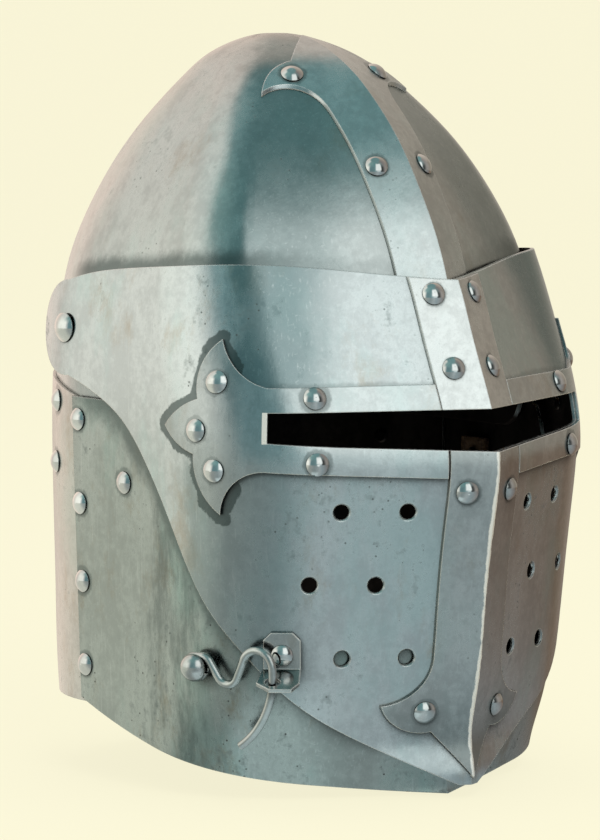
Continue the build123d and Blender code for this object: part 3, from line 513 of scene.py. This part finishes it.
# Visor: one sheet with the eye slot and the breath holes, with painted shade
# round the trefoils and along the eye bands' arms. Each edge of a trefoil is
# given by its two ends, across and from the slot's middle, and the rim's reach.
trefoil_edges = [((0.0205, 0.040), (0.027, 0.034), 0.0042), ((0.027, 0.034), (0.0315, 0.021), 0.0036),
                 ((0.0315, 0.021), (0.033, 0.012), 0.0036), ((0.033, 0.012), (0.043, 0.0075), 0.0036),
                 ((0.043, 0.0075), (0.0485, 0.0), 0.0036), ((0.019, 0.036), (0.0145, 0.027), 0.0035)]
slot_level, band_half_height, band_end = 0.1725, 0.0185, -0.002
rim_edge, arm_fade = (-0.0004, 0.0004), (0.0, 0.002)


def band_shade(paint, ragged):
    """painted shade: a dark rim along the trefoil's outer edges, and a faint one along the arms"""
    across, up = quarter(paint)
    rise = abs(up - slot_level)
    here = paint.joined(across, rise)
    rim = None
    for first, last, reach in trefoil_edges:
        run = (last[0] - first[0], last[1] - first[1], 0)
        length = run[0] ** 2 + run[1] ** 2
        away = paint.vector("SUBTRACT", here, (*first, 0))
        share = (paint.vector("DOT_PRODUCT", away, run, "Value") / length).most(0.0).least(1.0)
        near = paint.joined(share * run[0], share * run[1])
        gap = paint.vector("DISTANCE", away, near, "Value") - reach
        rim = gap if rim is None else rim.least(gap)
    trefoil = paint.fade(rim + ragged * 0.9, *rim_edge, 0.82)
    arms = (rise - band_half_height).most(across - band_end)
    return trefoil.most(paint.fade(arms + ragged * 0.5, *arm_fade, 0.3))


dress(steel("visor_steel", light=(0.68, 0.715, 0.71), stain_and_shade=band_shade, dark_reflection=0.78, tarnish=1.15, seed=4.4,
            spots=left_side("latch_bracket_rivet") + left_side("nasal_rivets")[:2]), "visor_plate")

# Eye bands and straps: bars of brighter steel that frame the slot and the
# keel, riveted on, with filed edges lightened partly by wear and partly as a
# painted highlight, a painted highlight at the slot's end on each band, and a
# bright line along the keel that is partly wear, partly painted highlight.
slot_end, slot_end_width = 0.0003, (0.0010, 0.0013)
slot_end_level, slot_end_height = 0.17275, (0.0068, 0.0073)
band_dark_across, nasal_dark_levels, keel_width = (0.008, 0.018), (0.022, 0.055), (0.0008, 0.0014)


# painted highlight: a bright upright strip at the slot's end
def slot_end_highlight(paint, ragged):
    across, up = quarter(paint)
    beside = paint.fade(abs(across - slot_end), *slot_end_width)
    return beside * paint.fade(abs(up - slot_end_level), *slot_end_height)


# darker from where the trefoil begins, towards the band's rear
def trefoil_darkening(paint, ragged):
    return paint.span(quarter(paint)[0] + ragged, *band_dark_across, 0.0, 0.30)


# darker towards the strap's lower end
def nasal_darkening(paint, ragged):
    return paint.fade(quarter(paint)[1] + ragged * 3.0, *nasal_dark_levels, 0.45)


# a bright line along the keel: wear, and a painted highlight on the ridge
def keel_wear_and_highlight(paint, ragged):
    x, _, _ = paint.parts(paint.place())
    return paint.fade(abs(x) + ragged * 1.1, *keel_width, 0.9)


band_spots = left_side("trefoil_rivets_left") + left_side("band_rivets")
dress(steel("eye_band_steel", light=(0.72, 0.75, 0.74), spots=band_spots, stain_and_shade=trefoil_darkening, dark_reflection=0.3,
            bright=slot_end_highlight, seed=5.2, tarnish=0.7), "eye_band_left", "eye_band_right")
dress(steel("brow_steel", light=(0.80, 0.81, 0.79), spots=left_side("brow_rivets"), reach=0.0066, seed=6.1,
            tarnish=0.3), "brow_strap")
dress(steel("nasal_steel", light=(0.60, 0.61, 0.59), spots=left_side("nasal_rivets"), reach=0.0070,
            stain_and_shade=nasal_darkening, bright=keel_wear_and_highlight, seed=7.1, tarnish=0.7), "nasal_strap")

# Rivets, pivots and washers: turned and domed steel, burnished by the set.
dress(steel("rivet_steel", light=(0.78, 0.78, 0.76), tarnish=0.2, shine=0.05, edges=0.0002, contact_shade=0.004,
            seed=8.0),
      "skull_strap_rivets", "back_rivets", "seam_rivets_left", "seam_rivets_right", "liner_rivets",
      "chin_strap_rivets", "trefoil_rivets_left", "trefoil_rivets_right", "band_rivets", "brow_rivets",
      "nasal_rivets", "latch_bracket_rivet", "pivot_rivet_left", "pivot_rivet_right")
dress(steel("washer_steel", seed=9.0),
      "pivot_spacer_left", "pivot_spacer_right", "pivot_washer_left", "pivot_washer_right")

# Latch and buckle: a domed stud, a hook of round wire, a folded bracket and the
# chin strap's frame, of the same steel, darker where hands seldom polish them.
dress(steel("latch_steel", light=(0.62, 0.62, 0.60), tarnish=0.7, shine=0.12, edges=0.001, contact_shade=0.006,
            seed=10.0), "latch_stud", "latch_hook", "latch_bracket", "chin_strap_buckle")

# Liner and chin straps: vegetable-tanned leather, cut with a knife, with
# burnished edges. The liner is riveted inside the skull and hangs in petals.
liner_brown, strap_brown = (0.20, 0.115, 0.065), (0.12, 0.07, 0.04)
shades = {"low": (0.62,) * 3, "crease": (0.5,) * 3, "pressed": (0.4,) * 3, "edge": (0.30,) * 3}
liner_seam, liner_rows = 0.2258, 0.0027
strap_seam, strap_rows = -0.0045, 0.0064


def leather(name, colour, groove):
    """hide with grain, creases, burnished edges and a creaser's line where it is sewn"""
    paint = Recipe(name)
    where = paint.place()
    grain = paint.node("ShaderNodeTexVoronoi", {"feature": "SMOOTH_F1"}, {
        "Vector": where, "Scale": 750.0})["Distance"]
    broad = paint.cloud(where, scale=18.0, detail=4.0, rough=0.6)
    creased = paint.place(turn=(0.3, 0.1, 0.4), stretch=(60, 60, 160))
    creases = paint.span(paint.cloud(creased, scale=1.0, detail=5.0, rough=0.7), 0.40, 0.62)
    tone = paint.blend(paint.span(broad, 0.35, 0.65), tint(colour, shades["low"]), colour)
    tone = paint.blend(creases * 0.4, tone, tint(colour, shades["crease"]))
    pressed = groove(paint)
    tone = paint.blend(pressed * 0.6, tone, tint(colour, shades["pressed"]))
    rounded, worn = worn_edge(paint, 0.0008)
    tone = paint.blend(worn * 0.6, tone, tint(colour, shades["edge"]))
    bump = paint.node("ShaderNodeBump", {}, {
        "Height": grain * 0.5 + broad * 2.0 - creases * 0.5 - pressed * 0.8, "Distance": 0.001,
        "Strength": 0.6, "Normal": rounded})["Normal"]
    shader = paint.node("ShaderNodeBsdfPrincipled", {}, {
        "Base Color": tone, "Roughness": paint.span(broad, 0.3, 0.7, 0.50, 0.68) + creases * 0.1,
        "Normal": bump, "Specular IOR Level": 0.4})
    return paint.finish(shader["BSDF"])


def cut_from(name, node, material):
    """leather piece that stands for a CAD solid"""
    shape = bmesh.new()
    shape.from_mesh(nodes[node].data)
    bmesh.ops.remove_doubles(shape, verts=shape.verts, dist=1e-6)
    piece = link_mesh(name, shape, material)
    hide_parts(node)
    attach(piece, "helm")


def liner_groove(paint):
    _, _, z = paint.parts(paint.place())
    return paint.fade(abs(abs(z - liner_seam) - liner_rows), 0.0002, 0.0007)


def strap_groove(paint):
    _, y, _ = paint.parts(paint.place())
    return paint.fade(abs(abs(y - strap_seam) - strap_rows), 0.0002, 0.0006)


cut_from("leather_liner", "liner", leather("liner_leather", liner_brown, liner_groove))
strap_hide = leather("strap_leather", strap_brown, strap_groove)
for side in ("left", "right"):
    cut_from("leather_chin_strap_" + side, "chin_strap_" + side, strap_hide)

# Stitches: waxed linen thread, sunk a little into the leather's inner face,
# round the liner's band, along its petals and along both chin straps.
clean_thread, soiled_thread = (0.42, 0.34, 0.22), (0.26, 0.19, 0.11)
stitch_half_size, rivet_clear = (0.0019, 0.00055, 0.00045), 0.009
band_middle, band_stitches = 0.01, 116
petals, petal_stitches, petal_rows, petal_foot, petal_step = 8, 13, 0.005, 0.240, 0.0056
strap_stitches, strap_foot, strap_step = 16, 0.062, 0.0055


def thread_paint():
    paint = Recipe("waxed_thread")
    where = paint.place()
    twist = paint.cloud(where, scale=2400.0, detail=2.0, rough=0.6)
    soil = paint.span(paint.cloud(where, scale=60.0, detail=4.0, rough=0.6), 0.40, 0.62)
    bump = paint.node("ShaderNodeBump", {}, {"Height": twist, "Distance": 0.0003, "Strength": 0.6})["Normal"]
    shader = paint.node("ShaderNodeBsdfPrincipled", {}, {
        "Base Color": paint.blend(soil, clean_thread, soiled_thread), "Roughness": twist * 0.2 + 0.45,
        "Normal": bump})
    return paint.finish(shader["BSDF"])


def sew(name, node, lays, clear):
    """one stitch where each ray meets the inner face: rays are a start, a way and the stitch's run"""
    hide = bmesh.new()
    hide.from_mesh(nodes[node].data)
    inner = BVHTree.FromBMesh(hide)
    rivets = islands(clear)
    rows, stitch = bmesh.new(), bmesh.new()
    bmesh.ops.create_uvsphere(stitch, u_segments=8, v_segments=6, radius=1)
    bead = bpy.data.meshes.new("stitch")
    stitch.to_mesh(bead)
    stitch.free()
    for start, way, run in lays:
        spot, normal = inner.ray_cast(Vector(start), Vector(way))[:2]
        if spot is None or min((spot - rivet).length for rivet in rivets) < rivet_clear:
            continue
        if normal.dot(Vector(way)) > 0:
            normal = -normal
        run = (Vector(run) - normal * normal.dot(Vector(run))).normalized()
        turn = Matrix((run, normal.cross(run), normal)).transposed().to_4x4()
        laid = bead.copy()
        laid.transform(Matrix.Translation(spot) @ turn @ Matrix.Diagonal((*stitch_half_size, 1)))
        rows.from_mesh(laid)
        bpy.data.meshes.remove(laid)
    bpy.data.meshes.remove(bead)
    hide.free()
    for face in rows.faces:
        face.smooth = True
    piece = link_mesh(name, rows, thread)
    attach(piece, "helm")


thread = thread_paint()
lays = []
for step in range(band_stitches):
    turn = 2 * pi * step / band_stitches
    for row in (-1, 1):
        start = (0, band_middle, liner_seam + row * liner_rows)
        lays.append((start, (sin(turn), cos(turn), 0), (cos(turn), -sin(turn), 0)))
for petal in range(petals):
    turn = 2 * pi * (petal + 0.5) / petals
    for step in range(petal_stitches):
        for aside in (-petal_rows, petal_rows):
            start = (-sin(turn) * aside, cos(turn) * aside, petal_foot + petal_step * step)
            lays.append((start, (cos(turn), sin(turn), 0), (0, 0, 1)))
sew("liner_stitches", "liner", lays, "liner_rivets")
for side, way in (("left", 1), ("right", -1)):
    lays = [((0, strap_seam + aside, strap_foot + strap_step * step), (way, 0, 0), (0, 0, 1))
            for step in range(strap_stitches) for aside in (-strap_rows, strap_rows)]
    sew("chin_stitches_" + side, "chin_strap_" + side, lays, "chin_strap_rivets")
